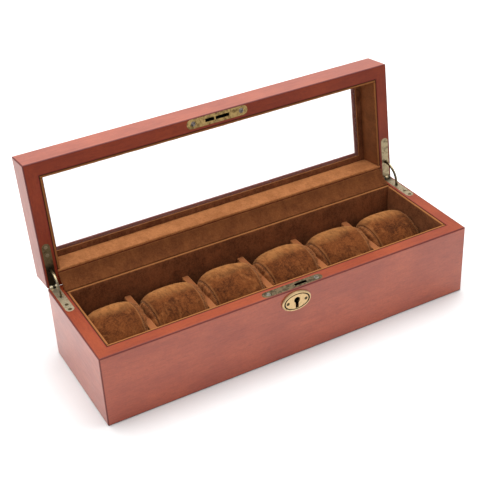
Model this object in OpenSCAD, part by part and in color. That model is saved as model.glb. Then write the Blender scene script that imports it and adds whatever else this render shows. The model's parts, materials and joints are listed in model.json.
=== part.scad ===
// Watch box with six places, a glazed lid and a mortise lock, drawn with its lid open.
// Millimetres. +X runs to the right, +Y to the back, +Z up; the origin is the middle of the underside.
// Lid parts are drawn as if shut, and in_lid() then swings them open about the hinge pins.

/* [Case] */
// Width of the case, side to side
case_w = 330; // [310:1:380]
// Depth of the case, front to back
case_d = 105; // [100:1:120]
// Height of the base
base_h = 63.4; // [62:0.1:75]
// Height of the lid
lid_h = 26.4; // [26:0.1:32]
// Gap between the two rims when the lid is shut
rim_gap = 0.2; // [0.2:0.05:0.4]
// Thickness of the wooden walls
wall = 11; // [11:0.5:13]
// Radius of the outer arrises
arris = 1.2; // [0.6:0.1:1.5]
// Thickness of the bottom panel
bottom_t = 4; // [3:0.5:5]
// Thickness of the felt under the bottom panel
felt_t = 1; // [0.8:0.1:1.5]
// Opening angle of the lid, in degrees
open_angle = 97; // [90:1:100]

/* [Window] */
// Width of the rails around the window
rail_w = 20.5; // [20:0.5:24]
// Thickness of the rails
rail_t = 2.8; // [2.6:0.1:3.4]
// Thickness of the glass
glass_t = 1.2; // [1:0.1:1.4]
// Width of the rebate that the glass lies in
rebate_w = 4; // [3.5:0.5:5]
// Thickness of the velvet-covered border that holds the glass in
border_t = 1.2; // [1:0.1:1.6]
// Width of glass edge left open between the rails and the border
border_reveal = 2; // [1:0.5:2.5]

/* [Lining] */
// Thickness of the velvet-covered lining boards
lining_t = 2.6; // [2:0.1:3]
// Thickness of the dividers
divider_t = 6; // [4:0.5:6]
// Width of the two end bays; the bays between them share what is left
end_bay_w = 43.8; // [43:0.1:46]
// Distance from the base's rim down to the dividers' tops
divider_drop = 21; // [16:1:26]
// Thickness of the cloth strip across the hinge side
strip_t = 0.8; // [0.5:0.1:1]

/* [Pillows] */
// Gap between a pillow's sewn end and the side of its bay
pillow_play = 0.3; // [0.2:0.1:2]
// Depth of a pillow, front to back
pillow_d = 60; // [56:1:72]
// Height of a pillow at its crown
pillow_h = 45; // [40:1:50]
// How much a pillow's half depth shrinks at its sewn ends
pillow_fall_d = 9; // [4:0.5:10]
// How much a pillow's half height shrinks at its sewn ends
pillow_fall_h = 4.5; // [2:0.5:8]
// Gap between a pillow and the rear lining
pillow_gap = 0.5; // [0.5:0.5:3]

/* [Hinges] */
// Length of a hinge leaf, from the pin
leaf_l = 38; // [36:1:42]
// Width of a hinge leaf
leaf_w = 7; // [6:0.5:7]
// Thickness of a hinge leaf
leaf_t = 1.6; // [1.2:0.1:1.8]
// Distance from the case's side to the middle of a leaf
leaf_inset = 5.4; // [4.6:0.1:5.6]
// Outer radius of the knuckles
knuckle_r = 1.9; // [1.7:0.1:2.2]
// Radius of the hinge pins
pin_r = 0.9; // [0.7:0.05:1]
// Middle radius of the curved arm that stops the lid
arm_r = 15.5; // [15:0.1:16]
// Radial width of the curved arm
arm_w = 2; // [1.6:0.1:2.2]
// Thickness of the curved arm
arm_t = 1.2; // [1:0.1:1.4]

/* [Lock] */
// Length of the lock's plate in the base's rim
faceplate_l = 54; // [50:1:60]
// Width of the lock's plate
faceplate_w = 7.3; // [7:0.1:8]
// Length of the strike plate in the lid's rim
strike_l = 55.3; // [50:0.1:60]
// Width of the strike plate
strike_w = 8; // [7:0.1:8.4]
// Distance from the case's front to the middle of the lock
lock_inset = 4.9; // [4.8:0.1:5.4]
// Distance from the middle of a plate to its screws
plate_screw_x = 21.9; // [20:0.1:23]
// Height of the key's axis
key_z = 53.9; // [53.5:0.1:53.9]
// Width of the oval escutcheon
escutcheon_w = 26; // [24:0.5:30]
// Height of the oval escutcheon
escutcheon_h = 17.3; // [16:0.1:18]
// Thickness of the escutcheon
escutcheon_t = 1.8; // [1.2:0.1:2]

/* [Hidden] */
$fn = 64;

stained_wood = [0.62, 0.29, 0.19];
plywood = [0.78, 0.64, 0.45];
velvet = [0.42, 0.24, 0.13];
pillow_velvet = [0.52, 0.31, 0.16];
felt = [0.25, 0.13, 0.08];
antique_brass = [0.58, 0.51, 0.33];
dark_brass = [0.34, 0.30, 0.20];
clear_glass = [0.85, 0.92, 0.92, 0.35];

// Numbers of the four sides; a side's number times 90 degrees turns the front onto it
FRONT = 0;
RIGHT = 1;
REAR = 2;
LEFT = 3;

places = 6;
floor_z = felt_t + bottom_t + lining_t;
panel_inset = 5;
inner_w = case_w - 2 * wall;
inner_d = case_d - 2 * wall;
room_w = inner_w - 2 * lining_t;
room_d = inner_d - 2 * lining_t;
inner_bay_w = (room_w - 2 * end_bay_w - (places - 1) * divider_t) / (places - 2);
inner_bay_x = -room_w / 2 + end_bay_w + divider_t;
divider_top = base_h - divider_drop;
pillow_lift = 0.4;
pillow_y = room_d / 2 - pillow_gap - pillow_d / 2;
pillow_z = floor_z + pillow_lift + pillow_h / 2;

pivot_z = base_h + rim_gap / 2;
lid_z = base_h + rim_gap;
lid_wall_h = lid_h - rail_t;
rebate = [4.5, 0.9];
rail_z = lid_z + lid_wall_h;
border_z = rail_z - border_t;

// Hinge details: distances are measured from the pin along the leaf
leaf_screws = [28, 35];
clearance = 0.3;
running_fit = 0.05;
lid_knuckle = 2.3;
knuckle_gap = 0.1;
arm_overlap = 11.2;
arm_head = 3.6;
arm_head_w = arm_w + 1.8;
pocket_near = 6;
pocket_far = 18.2;
pocket_deep = 16.2;
pocket_w = arm_t + 1.2;
arm_slot_w = arm_t + 0.8;

// Knuckles along the pin: two on the base's leaf and one between them on the lid's
half_leaf = leaf_w / 2;
half_knuckle = lid_knuckle / 2;
half_gap = knuckle_gap / 2;
lid_knuckles = [[-half_knuckle, half_knuckle]];
base_knuckles = [[-half_leaf, -half_knuckle - knuckle_gap], [half_knuckle + knuckle_gap, half_leaf]];
lid_room = [[-half_knuckle - half_gap, half_knuckle + half_gap]];
base_room = [[-half_leaf - 1, -half_knuckle - half_gap], [half_knuckle + half_gap, half_leaf + 1]];

// Wood screws: head radius, shank radius and length
leaf_screw = [1.6, 0.8, 8];
plate_screw = [2.1, 0.9, 9];

// Lock details: x is measured from the middle of the case
faceplate_t = 1.2;
strike_t = 1;
slot_w = 2.8;
bolt_slot = [2, 13];
strike_long_slot = [-1.5, 10.7];
strike_short_slot = [-11, -3];
lock_y = -case_d / 2 + lock_inset;
lock_case_w = 36;
lock_case_t = 5;
lock_case_h = 20.8;
lock_plate_t = 1;
lock_case_top = base_h - faceplate_t;
bolt_t = 1.6;
bolt_r = [11.4, 14];
bolt_from = -50;
bolt_to = 35;
bolt_web = 12;
bolt_hub_r = 5;
lock_post_r = 3;
strike_pocket_w = 24;
strike_pocket_h = 5;
strike_pocket_t = 3.2;
keyhole_r = 2.3;
keyhole_slot_w = 2;
keyhole_drop = 6.8;
escutcheon_drop = 1.3;
escutcheon_pin_x = 8.1;
escutcheon_pin_l = 3.7;
escutcheon_pin_head = [1.4, 0.5];

// Width of a bay and the place of its left side; bays are numbered from 1 at the left
function bay_w(number) = number == 1 || number == places ? end_bay_w : inner_bay_w;
function bay_x(number) = number == 1 ? -room_w / 2 : inner_bay_x + (number - 2) * (inner_bay_w + divider_t);

// ---- shared shapes ----

// A bar along local X whose section has its outer face at 0 and its base at 0
module bar(length) {
    rotate([90, 0, 90]) linear_extrude(length, center = true) children();
}

// Rectangle with the outer arrises rounded: low at the bottom, high at the top
module bar_section(width, height, low, high) {
    translate([arris, 0]) square([width - arris, height]);
    translate([0, low ? arris : 0]) square([width, height - (low ? arris : 0) - (high ? arris : 0)]);
    if (low) translate([arris, arris]) circle(r = arris);
    if (high) translate([arris, height - arris]) circle(r = arris);
}

// The case's plan, with the four upright arrises rounded
module case_plan() {
    square([case_w - 2 * arris, case_d], center = true);
    square([case_w, case_d - 2 * arris], center = true);
    for (x = [-1, 1], y = [-1, 1])
        translate([x * (case_w / 2 - arris), y * (case_d / 2 - arris)]) circle(r = arris);
}

// One member of a mitred frame: the child is its section, and width is measured inwards
module frame_member(side, width, height) {
    long = side % 2 == 0 ? case_w : case_d;
    out = side % 2 == 0 ? case_d / 2 : case_w / 2;
    intersection() {
        linear_extrude(height) case_plan();
        rotate(90 * side) intersection() {
            translate([0, -out, 0]) bar(long) children();
            linear_extrude(height)
                polygon([[-long / 2, -out], [long / 2, -out],
                         [long / 2 - width, width - out], [width - long / 2, width - out]]);
        }
    }
}

// Four boards that line a frame: front and rear run through, the side ones stand between them
module lining_board(side, low, high) {
    long = side % 2 == 0 ? inner_w : room_d;
    out = side % 2 == 0 ? inner_d / 2 : inner_w / 2;
    rotate(90 * side) translate([-long / 2, -out, low]) cube([long, lining_t, high - low]);
}

// Plate with round ends
module capsule(length, width) {
    square([length - width, width], center = true);
    for (x = [-1, 1]) translate([x * (length - width) / 2, 0]) circle(d = width);
}

module ellipse(a, b, points) {
    polygon([for (i = [0 : points - 1]) [a * cos(360 * i / points), b * sin(360 * i / points)]]);
}

// Part of a ring, from one angle to another
module ring_sector(inner, outer, from, to) {
    reach = 2 * outer;
    intersection() {
        difference() {
            circle(r = outer, $fn = 128);
            circle(r = inner, $fn = 128);
        }
        polygon(concat([[0, 0]], [for (a = [from, (from + to) / 2, to]) [reach * cos(a), reach * sin(a)]]));
    }
}

// Countersunk wood screw pointing down, its head flush with z = 0
module screw_body(size) {
    head_r = size[0];
    shank_r = size[1];
    length = size[2];
    head_h = head_r - shank_r;
    tip_h = 1.5;
    translate([0, 0, -head_h]) cylinder(h = head_h, r1 = shank_r, r2 = head_r);
    translate([0, 0, tip_h - length]) cylinder(h = length - tip_h - head_h, r = shank_r);
    translate([0, 0, -length]) cylinder(h = tip_h, r1 = 0.1, r2 = shank_r);
}

module screw(size) {
    driver_slot = [2 * size[0] + 1, 0.45, 0.35];
    color(dark_brass) difference() {
        screw_body(size);
        translate([-driver_slot[0] / 2, -driver_slot[1] / 2, -driver_slot[2]])
            cube([driver_slot[0], driver_slot[1], 1]);
    }
}

// Swings parts drawn in the shut position about the hinge pins
module in_lid() {
    translate([0, case_d / 2, pivot_z]) rotate([-open_angle, 0, 0])
        translate([0, -case_d / 2, -pivot_z]) children();
}

// ---- hinge, drawn about its pin: the leaf runs along -Y, and the wood that holds it is below ----

module at_hinge(hand) {
    translate([hand * (case_w / 2 - leaf_inset), case_d / 2, pivot_z]) children();
}

module leaf_outline() {
    straight = leaf_l - leaf_w / 2;
    translate([-leaf_w / 2, -straight]) square([leaf_w, straight]);
    translate([0, -straight]) circle(d = leaf_w);
}

module along_pin(from, to, r) {
    translate([from, 0, 0]) rotate([0, 90, 0]) cylinder(h = to - from, r = r);
}

module at_leaf_screws() {
    for (d = leaf_screws) translate([0, -d, -rim_gap / 2]) children();
}

// own and other are lists of [from, to] along the pin: this leaf's knuckles and the other leaf's
module leaf(own, other, bore_r) {
    near = arm_r - arm_w / 2 - 0.4;
    far = arm_r + arm_w / 2 + 0.4;
    color(antique_brass) difference() {
        union() {
            translate([0, 0, -rim_gap / 2 - leaf_t]) linear_extrude(leaf_t) leaf_outline();
            for (k = own) along_pin(k[0], k[1], knuckle_r);
        }
        along_pin(-leaf_w, leaf_w, bore_r);
        for (k = other) along_pin(k[0], k[1], knuckle_r + clearance);
        translate([-arm_slot_w / 2, -far, -leaf_t - 1]) cube([arm_slot_w, far - near, leaf_t + 2]);
        at_leaf_screws() screw_body(leaf_screw);
    }
}

module base_leaf() {
    leaf(base_knuckles, lid_room, pin_r);
}

module lid_leaf() {
    mirror([0, 0, 1]) leaf(lid_knuckles, base_room, pin_r + running_fit);
}

// What is cut from the wood for one hinge
module hinge_mortise() {
    translate([0, 0, -rim_gap / 2 - leaf_t]) linear_extrude(leaf_t + 1) leaf_outline();
    along_pin(-half_leaf - 0.2, half_leaf + 0.2, knuckle_r + clearance);
    translate([-pocket_w / 2, -pocket_far, -pocket_deep])
        cube([pocket_w, pocket_far - pocket_near, pocket_deep]);
    at_leaf_screws() screw_body(leaf_screw);
}

module hinge_mortises(lid) {
    for (hand = [-1, 1]) at_hinge(hand) mirror([0, 0, lid ? 1 : 0]) hinge_mortise();
}

// The arm floats between the leaves, and its two heads stop it under their slots
module quadrant_arm(hand) {
    half = arm_head_w / 2;
    far = open_angle + arm_overlap;
    color(antique_brass) at_hinge(hand) mirror([0, 1, 0]) bar(arm_t) {
        ring_sector(arm_r - arm_w / 2, arm_r + arm_w / 2, -arm_overlap, far);
        ring_sector(arm_r - half, arm_r + half, -arm_overlap, arm_head - arm_overlap);
        ring_sector(arm_r - half, arm_r + half, far - arm_head, far);
    }
}

module hinge_pins() {
    color(dark_brass) for (hand = [-1, 1]) at_hinge(hand) along_pin(-half_leaf, half_leaf, pin_r);
}

module base_hinge_screws() {
    for (hand = [-1, 1]) at_hinge(hand) at_leaf_screws() screw(leaf_screw);
}

module lid_hinge_screws() {
    in_lid() for (hand = [-1, 1]) at_hinge(hand) mirror([0, 0, 1]) at_leaf_screws() screw(leaf_screw);
}

// ---- lock ----

// Drawing plane of the lock: local X to the right, local Y up, about the key's axis
module at_key(y) {
    translate([0, y, key_z]) rotate([90, 0, 0]) children();
}

module keyhole(grow) {
    circle(r = keyhole_r + grow);
    translate([-keyhole_slot_w / 2 - grow, -keyhole_drop - grow])
        square([keyhole_slot_w + 2 * grow, keyhole_drop + grow]);
}

module slot(x, low, high) {
    translate([x[0], lock_y - slot_w / 2, low]) cube([x[1] - x[0], slot_w, high - low]);
}

module at_plate_screws(z) {
    for (x = [-1, 1]) translate([x * plate_screw_x, lock_y, z]) children();
}

module at_escutcheon_pins() {
    for (x = [-1, 1]) translate([x * escutcheon_pin_x, -case_d / 2 - escutcheon_t, key_z - escutcheon_drop])
        rotate([90, 0, 0]) children();
}

module escutcheon_pin_body() {
    head_h = escutcheon_pin_head[1];
    translate([0, 0, -head_h]) cylinder(h = head_h, r = escutcheon_pin_head[0]);
    translate([0, 0, -escutcheon_pin_l]) cylinder(h = escutcheon_pin_l - head_h, r = 0.6);
}

// What is cut from the base's front wall for the lock
module lock_mortise() {
    case_back = lock_y + lock_case_t / 2;
    translate([0, lock_y, base_h - faceplate_t]) linear_extrude(2) capsule(faceplate_l, faceplate_w);
    translate([-lock_case_w / 2, lock_y - lock_case_t / 2, lock_case_top - lock_case_h])
        cube([lock_case_w, lock_case_t, lock_case_h]);
    at_key(case_back) linear_extrude(case_back + case_d / 2 + 1) keyhole(0.6);
    at_plate_screws(base_h) screw_body(plate_screw);
    at_escutcheon_pins() escutcheon_pin_body();
}

module lock_case() {
    hollow = [lock_case_w, lock_case_t, lock_case_h] - 2 * lock_plate_t * [1, 1, 1];
    back = lock_y + hollow[1] / 2;
    color(dark_brass) difference() {
        union() {
            difference() {
                translate([-lock_case_w / 2, lock_y - lock_case_t / 2, lock_case_top - lock_case_h])
                    cube([lock_case_w, lock_case_t, lock_case_h]);
                translate([-hollow[0] / 2, back - hollow[1], lock_case_top - lock_plate_t - hollow[2]])
                    cube(hollow);
            }
            at_key(back) cylinder(h = hollow[1] - 0.5, r = lock_post_r);
        }
        at_key(back - 0.5) linear_extrude(lock_case_t) keyhole(0);
        slot(bolt_slot, lock_case_top - 2, lock_case_top + 1);
    }
}

// Curved bolt that turns about the key's axis, up through the rim and over the strike plate's bridge
module lock_bolt() {
    color(antique_brass) at_key(lock_y) linear_extrude(bolt_t, center = true) difference() {
        union() {
            circle(r = bolt_hub_r);
            ring_sector(bolt_r[0], bolt_r[1], bolt_from, bolt_to);
            ring_sector(bolt_hub_r - 1, bolt_r[0] + 1, bolt_from, bolt_from + bolt_web);
        }
        circle(r = lock_post_r + running_fit);
    }
}

module lock_faceplate() {
    color(antique_brass) difference() {
        translate([0, lock_y, base_h - faceplate_t]) linear_extrude(faceplate_t)
            capsule(faceplate_l, faceplate_w);
        slot(bolt_slot, base_h - 2, base_h + 1);
        at_plate_screws(base_h) screw_body(plate_screw);
    }
}

module lock_screws() {
    at_plate_screws(base_h) screw(plate_screw);
}

// What is cut from the lid's front wall for the strike plate and the bolt
module strike_mortise() {
    translate([0, lock_y, lid_z - 1]) linear_extrude(strike_t + 1) capsule(strike_l, strike_w);
    translate([-strike_pocket_w / 2, lock_y - strike_pocket_t / 2, lid_z])
        cube([strike_pocket_w, strike_pocket_t, strike_t + strike_pocket_h]);
    at_plate_screws(lid_z) mirror([0, 0, 1]) screw_body(plate_screw);
}

module strike_plate() {
    color(antique_brass) in_lid() difference() {
        translate([0, lock_y, lid_z]) linear_extrude(strike_t) capsule(strike_l, strike_w);
        slot(strike_long_slot, lid_z - 1, lid_z + 2);
        slot(strike_short_slot, lid_z - 1, lid_z + 2);
        at_plate_screws(lid_z) mirror([0, 0, 1]) screw_body(plate_screw);
    }
}

module strike_screws() {
    in_lid() at_plate_screws(lid_z) mirror([0, 0, 1]) screw(plate_screw);
}

module escutcheon() {
    points = 72;
    a = escutcheon_w / 2;
    b = escutcheon_h / 2;
    bevel = 0.6;
    groove = [1.7, 2.3];
    groove_depth = 0.35;
    color(antique_brass) translate([0, -case_d / 2, key_z - escutcheon_drop]) rotate([90, 0, 0])
        difference() {
            hull() {
                linear_extrude(escutcheon_t - bevel) ellipse(a, b, points);
                linear_extrude(escutcheon_t) ellipse(a - bevel, b - bevel, points);
            }
            translate([0, 0, escutcheon_t - groove_depth]) linear_extrude(1) difference() {
                ellipse(a - groove[0], b - groove[0], points);
                ellipse(a - groove[1], b - groove[1], points);
            }
            translate([0, escutcheon_drop, -1]) linear_extrude(escutcheon_t + 2) keyhole(0.4);
            for (x = [-1, 1]) translate([x * escutcheon_pin_x, 0, escutcheon_t]) escutcheon_pin_body();
        }
}

// Round-headed pins, each with a cross cut in its head
module escutcheon_pins() {
    cross = [2 * escutcheon_pin_head[0] - 0.5, 0.45];
    color(dark_brass) at_escutcheon_pins() difference() {
        escutcheon_pin_body();
        translate([0, 0, -0.3]) linear_extrude(1) {
            square(cross, center = true);
            square([cross[1], cross[0]], center = true);
        }
    }
}

// Rebate along the inner edge of a rear rim, where the cloth strip folds as the lid shuts
module strip_rebate(lid) {
    translate([0, case_d / 2, pivot_z]) mirror([0, 0, lid ? 1 : 0])
        translate([-inner_w / 2 - 0.5, -wall - 1, -rim_gap / 2 - rebate[1]])
            cube([inner_w + 1, rebate[0] + 1, rebate[1] + 1]);
}

// ---- base ----

module base_wall(side) {
    color(stained_wood) difference() {
        frame_member(side, wall, base_h) bar_section(wall, base_h, low = true, high = side != REAR);
        linear_extrude(2 * (felt_t + bottom_t), center = true)
            square([case_w - 2 * panel_inset, case_d - 2 * panel_inset], center = true);
        if (side == FRONT) lock_mortise(); else hinge_mortises(lid = false);
        if (side == REAR) strip_rebate(lid = false);
    }
}

module bottom_sheet(low, thick) {
    translate([0, 0, low]) linear_extrude(thick)
        square([case_w - 2 * panel_inset, case_d - 2 * panel_inset], center = true);
}

module bottom_panel() {
    color(plywood) bottom_sheet(felt_t, bottom_t);
}

module underside_felt() {
    color(felt) bottom_sheet(0, felt_t);
}

module base_lining(side) {
    color(velvet) lining_board(side, floor_z, base_h);
}

module floor_lining() {
    color(velvet) translate([0, 0, floor_z - lining_t]) linear_extrude(lining_t)
        square([inner_w, inner_d], center = true);
}

// Divider at the right side of a bay
module divider(number) {
    x = bay_x(number) + bay_w(number);
    color(velvet) translate([x, -room_d / 2, floor_z]) cube([divider_t, room_d, divider_top - floor_z]);
}

// Oval section of a pillow, at s from its middle (0) to a sewn end (1)
module pillow_section(s) {
    ellipse(pillow_d / 2 - pillow_fall_d * pow(s, 3), pillow_h / 2 - pillow_fall_h * pow(s, 3), 32);
}

// Oval cushion, set to the back of its bay, whose ends draw in
module pillow(number) {
    slice = 1;
    reach = (bay_w(number) - slice) / 2 - pillow_play;
    color(pillow_velvet) translate([bay_x(number) + bay_w(number) / 2, pillow_y, pillow_z])
        hull() for (s = [0.4, 0.75, 0.9, 1], end = [-1, 1])
            translate([end * s * reach, 0, 0]) bar(slice) pillow_section(s);
}

// ---- lid ----

module lid_wall(side) {
    color(stained_wood) in_lid() difference() {
        translate([0, 0, lid_z]) frame_member(side, wall, lid_wall_h)
            bar_section(wall, lid_wall_h, low = side != REAR, high = false);
        if (side == FRONT) strike_mortise(); else hinge_mortises(lid = true);
        if (side == REAR) strip_rebate(lid = true);
    }
}

module window_rail(side) {
    color(stained_wood) in_lid() translate([0, 0, rail_z]) frame_member(side, rail_w, rail_t)
        difference() {
            bar_section(rail_w, rail_t, low = false, high = true);
            translate([rail_w - rebate_w, -1]) square([rebate_w + 1, glass_t + 1]);
        }
}

module window_glass() {
    edge = 2 * (rail_w - rebate_w);
    color(clear_glass) in_lid() translate([0, 0, rail_z]) linear_extrude(glass_t)
        square([case_w - edge, case_d - edge], center = true);
}

module window_border_lining() {
    edge = 2 * (rail_w - border_reveal);
    color(velvet) in_lid() translate([0, 0, border_z]) linear_extrude(border_t) difference() {
        square([inner_w, inner_d], center = true);
        square([case_w - edge, case_d - edge], center = true);
    }
}

module lid_lining(side) {
    color(velvet) in_lid() lining_board(side, lid_z, border_z);
}

// Cloth stretched from the base's rear rim to the lid's, out of the joints between wall and lining
module cloth_hinge_strip() {
    reach = wall - 0.05;
    lift = rim_gap / 2;
    foot = [-reach, -lift];
    head = [lift * sin(open_angle) - reach * cos(open_angle),
            lift * cos(open_angle) + reach * sin(open_angle)];
    thick = strip_t * [cos(open_angle / 2), -sin(open_angle / 2)];
    color(velvet) translate([0, case_d / 2, pivot_z]) bar(inner_w - 0.2)
        polygon([foot, head, head + thick, foot + thick]);
}

base_wall(FRONT);  // base_front_wall
base_wall(RIGHT);  // base_right_wall
base_wall(REAR);  // base_rear_wall
base_wall(LEFT);  // base_left_wall
bottom_panel();
underside_felt();
base_lining(FRONT);  // base_front_lining
base_lining(RIGHT);  // base_right_lining
base_lining(REAR);  // base_rear_lining
base_lining(LEFT);  // base_left_lining
floor_lining();
divider(1);  // divider_1
divider(2);  // divider_2
divider(3);  // divider_3
divider(4);  // divider_4
divider(5);  // divider_5
pillow(1);  // pillow_1
pillow(2);  // pillow_2
pillow(3);  // pillow_3
pillow(4);  // pillow_4
pillow(5);  // pillow_5
pillow(6);  // pillow_6
lid_wall(FRONT);  // lid_front_wall
lid_wall(RIGHT);  // lid_right_wall
lid_wall(REAR);  // lid_rear_wall
lid_wall(LEFT);  // lid_left_wall
window_rail(FRONT);  // window_front_rail
window_rail(RIGHT);  // window_right_rail
window_rail(REAR);  // window_rear_rail
window_rail(LEFT);  // window_left_rail
window_glass();
window_border_lining();
lid_lining(FRONT);  // lid_front_lining
lid_lining(RIGHT);  // lid_right_lining
lid_lining(REAR);  // lid_rear_lining
lid_lining(LEFT);  // lid_left_lining
cloth_hinge_strip();
at_hinge(-1) base_leaf();  // base_leaf_left
at_hinge(1) base_leaf();  // base_leaf_right
in_lid() at_hinge(-1) lid_leaf();  // lid_leaf_left
in_lid() at_hinge(1) lid_leaf();  // lid_leaf_right
hinge_pins();
quadrant_arm(-1);  // quadrant_arm_left
quadrant_arm(1);  // quadrant_arm_right
base_hinge_screws();
lid_hinge_screws();
lock_case();
lock_bolt();
lock_faceplate();
lock_screws();
strike_plate();
strike_screws();
escutcheon();
escutcheon_pins();
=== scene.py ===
"""Looks for the watch box: finishes for the wood, brass and glass that the frame brings, and new
pieces for its velvet-covered boards, its six stuffed pillows, the felt and the cloth strip."""

import json
import math

import bmesh
import bpy
import numpy as np
from mathutils import Matrix, Vector, noise


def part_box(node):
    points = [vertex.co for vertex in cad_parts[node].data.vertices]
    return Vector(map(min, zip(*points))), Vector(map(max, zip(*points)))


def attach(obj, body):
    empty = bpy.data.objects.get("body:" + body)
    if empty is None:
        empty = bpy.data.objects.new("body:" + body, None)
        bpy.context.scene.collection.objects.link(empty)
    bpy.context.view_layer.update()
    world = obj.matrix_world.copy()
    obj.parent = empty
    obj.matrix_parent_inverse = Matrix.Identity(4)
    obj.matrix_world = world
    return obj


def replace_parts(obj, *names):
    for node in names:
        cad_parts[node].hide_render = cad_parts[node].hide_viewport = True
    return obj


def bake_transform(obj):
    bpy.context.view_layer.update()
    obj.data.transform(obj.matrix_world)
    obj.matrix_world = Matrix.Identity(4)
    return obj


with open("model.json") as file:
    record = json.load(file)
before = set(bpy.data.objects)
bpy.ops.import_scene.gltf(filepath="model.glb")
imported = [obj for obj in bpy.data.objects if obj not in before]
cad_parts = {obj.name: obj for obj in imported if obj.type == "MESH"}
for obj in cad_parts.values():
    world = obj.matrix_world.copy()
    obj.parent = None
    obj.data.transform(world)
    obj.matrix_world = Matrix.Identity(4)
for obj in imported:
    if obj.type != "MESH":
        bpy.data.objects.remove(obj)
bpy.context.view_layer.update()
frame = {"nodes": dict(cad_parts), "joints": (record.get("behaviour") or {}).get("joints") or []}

MM = 0.001
FRONT, RIGHT, REAR, LEFT = "front", "right", "rear", "left"
DIVIDERS, PILLOWS = 5, 6

KEYHOLE_SHADE = 6.5 * MM  # radius, about the keyhole, in which the wood is painted near-black as shade
POCKET_HALF = (12.1 * MM, 1.7 * MM)  # half sizes in X and Y of the pocket behind the strike plate, painted near-black as shade
GROOVE_INSET = 2 * MM  # from the escutcheon's outline to the middle of its groove

BOARD_ROUND = 0.8 * MM
FLOOR_ROUND = 0.6 * MM
DIVIDER_ROUND = 1.2 * MM
BORDER_ROUND = 0.45 * MM
FELT_ROUND = 0.45 * MM
STRIP_THICK = 0.45 * MM
STRIP_HOLLOW = 0.9 * MM  # how far the strip's middle lies off the line between its edges

# The lid is packed open. HINGE turns shut coordinates into open ones, and SHUT turns them back.
lid_joint = next(j for j in frame["joints"] if j["name"] == "lid_hinge")
PIVOT = Vector(lid_joint["pos_m"])
OPEN_ANGLE = math.radians(max(abs(a) for a in lid_joint["range_deg"]))
HINGE = Matrix.Translation(PIVOT) @ Matrix.Rotation(-OPEN_ANGLE, 4, "X") @ Matrix.Translation(-PIVOT)
SHUT = HINGE.inverted()


def shut_box(name):
    """The lowest and highest corners that a lid node would have with the lid shut."""
    points = [SHUT @ v.co for v in frame["nodes"][name].data.vertices]
    low = Vector([min(p[i] for p in points) for i in range(3)])
    high = Vector([max(p[i] for p in points) for i in range(3)])
    return low, high


# ---- finishes ----

def rgb(red, green, blue):
    """Linear colour of a colour that is written as it looks on a screen, from 0 to 255."""
    return tuple(((c / 255 + 0.055) / 1.055) ** 2.4 for c in (red, green, blue)) + (1.0,)


class Finish:
    """One node material. Each method adds nodes and returns the socket that gives their result."""

    def __init__(self, name, **sockets):
        self.material = bpy.data.materials.new(name)
        self.material.use_nodes = True
        self.tree = self.material.node_tree
        self.shader = self.tree.nodes["Principled BSDF"]
        for socket, value in sockets.items():
            self.shader.inputs[socket.replace("_", " ")].default_value = value

    def feed(self, socket, value):
        if isinstance(value, bpy.types.NodeSocket):
            self.tree.links.new(value, socket)
        else:
            socket.default_value = value

    def node(self, kind, values, **settings):
        made = self.tree.nodes.new("ShaderNode" + kind)
        for key, value in settings.items():
            setattr(made, key, value)
        for key, value in values.items():
            self.feed(made.inputs[key], value)
        return made

    def coordinates(self, output="Object", in_lid=False):
        """Place or normal on the piece; a lid piece's are turned to where they are with the lid shut."""
        socket = self.node("TexCoord", {}).outputs[output]
        if not in_lid:
            return socket
        centre = PIVOT if output == "Object" else Vector()
        turned = self.node("VectorRotate", {"Vector": socket, "Center": centre, "Angle": OPEN_ANGLE},
                           rotation_type="X_AXIS")
        return turned.outputs["Vector"]

    def stretched(self, vector, scale):
        return self.node("Mapping", {"Vector": vector, "Scale": scale}).outputs["Vector"]

    def noise(self, vector, scale, detail=4.0, roughness=0.55, distortion=0.0):
        return self.node("TexNoise", {"Vector": vector, "Scale": scale, "Detail": detail,
                                      "Roughness": roughness, "Distortion": distortion}).outputs["Fac"]

    def ramp(self, value, low, high, to_low=0.0, to_high=1.0):
        return self.node("MapRange", {"Value": value, "From Min": low, "From Max": high,
                                      "To Min": to_low, "To Max": to_high},
                         interpolation_type="SMOOTHSTEP").outputs["Result"]

    def math(self, operation, a, b=0.0):
        return self.node("Math", {0: a, 1: b}, operation=operation).outputs["Value"]

    def mix(self, factor, a, b, blend="MIX"):
        made = self.tree.nodes.new("ShaderNodeMix")
        made.data_type = "RGBA"
        made.blend_type = blend
        sockets = [s for s in made.inputs if s.enabled]
        for socket, value in zip(sockets, (factor, a, b)):
            self.feed(socket, value)
        return next(s for s in made.outputs if s.enabled)

    def tint(self, colour, mask, amount, tone):
        """The colour, covered by a tone where the mask is 1, as far as amount says."""
        return self.mix(self.math("MULTIPLY", mask, amount), colour, tone)

    def length(self, a, b):
        squares = self.math("ADD", self.math("MULTIPLY", a, a), self.math("MULTIPLY", b, b))
        return self.math("SQRT", squares)

    def parts(self, vector):
        return self.node("SeparateXYZ", {"Vector": vector}).outputs

    def off_axis(self, in_lid, start=0.995, full=0.93):
        """0 on faces square to the axes, 1 on rounded arrises."""
        x, y, z = [self.math("ABSOLUTE", s) for s in self.parts(self.coordinates("Normal", in_lid))]
        return self.ramp(self.math("MAXIMUM", self.math("MAXIMUM", x, y), z), start, full)

    def beyond(self, vector, half):
        """How far a place is outside an upright box about the middle (half: its half sizes)."""
        x, y, _ = self.parts(vector)
        past_x = self.math("SUBTRACT", self.math("ABSOLUTE", x), half[0])
        past_y = self.math("SUBTRACT", self.math("ABSOLUTE", y), half[1])
        return self.math("MAXIMUM", past_x, past_y)

    def bump(self, height, distance, strength=1.0, normal=None):
        values = {"Height": height, "Distance": distance, "Strength": strength}
        if normal is not None:
            values["Normal"] = normal
        return self.node("Bump", values).outputs["Normal"]

    def finish(self, **sockets):
        for socket, value in sockets.items():
            self.feed(self.shader.inputs[socket.replace("_", " ")], value)
        return self.material


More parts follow.
